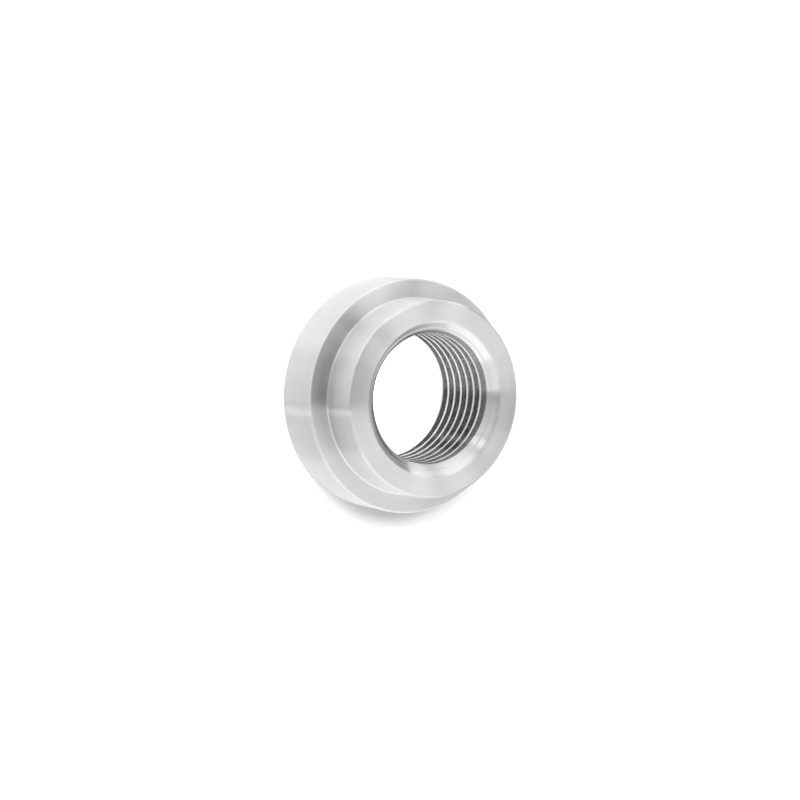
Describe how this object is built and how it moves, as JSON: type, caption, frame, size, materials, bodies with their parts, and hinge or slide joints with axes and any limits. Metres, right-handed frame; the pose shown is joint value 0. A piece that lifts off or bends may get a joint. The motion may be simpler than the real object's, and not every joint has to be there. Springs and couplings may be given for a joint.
{
  "type": "weld bung",
  "caption": "Stepped round weld bung with a wide flange, a narrower pilot and a fine threaded bore right through.",
  "frame": {"origin": "centre of the flange's back face, on which the bung stands", "axes": "+Z along the bore's axis, from the flange towards the pilot; X and Y are any two square directions, as the bung is round"},
  "size_m": [0.03, 0.03, 0.0124],
  "materials": {
    "steel": "fine-turned stainless steel, satin to bright"
  },
  "bodies": {
    "root": {"weld_bung": "steel"}
  },
  "joints": []
}
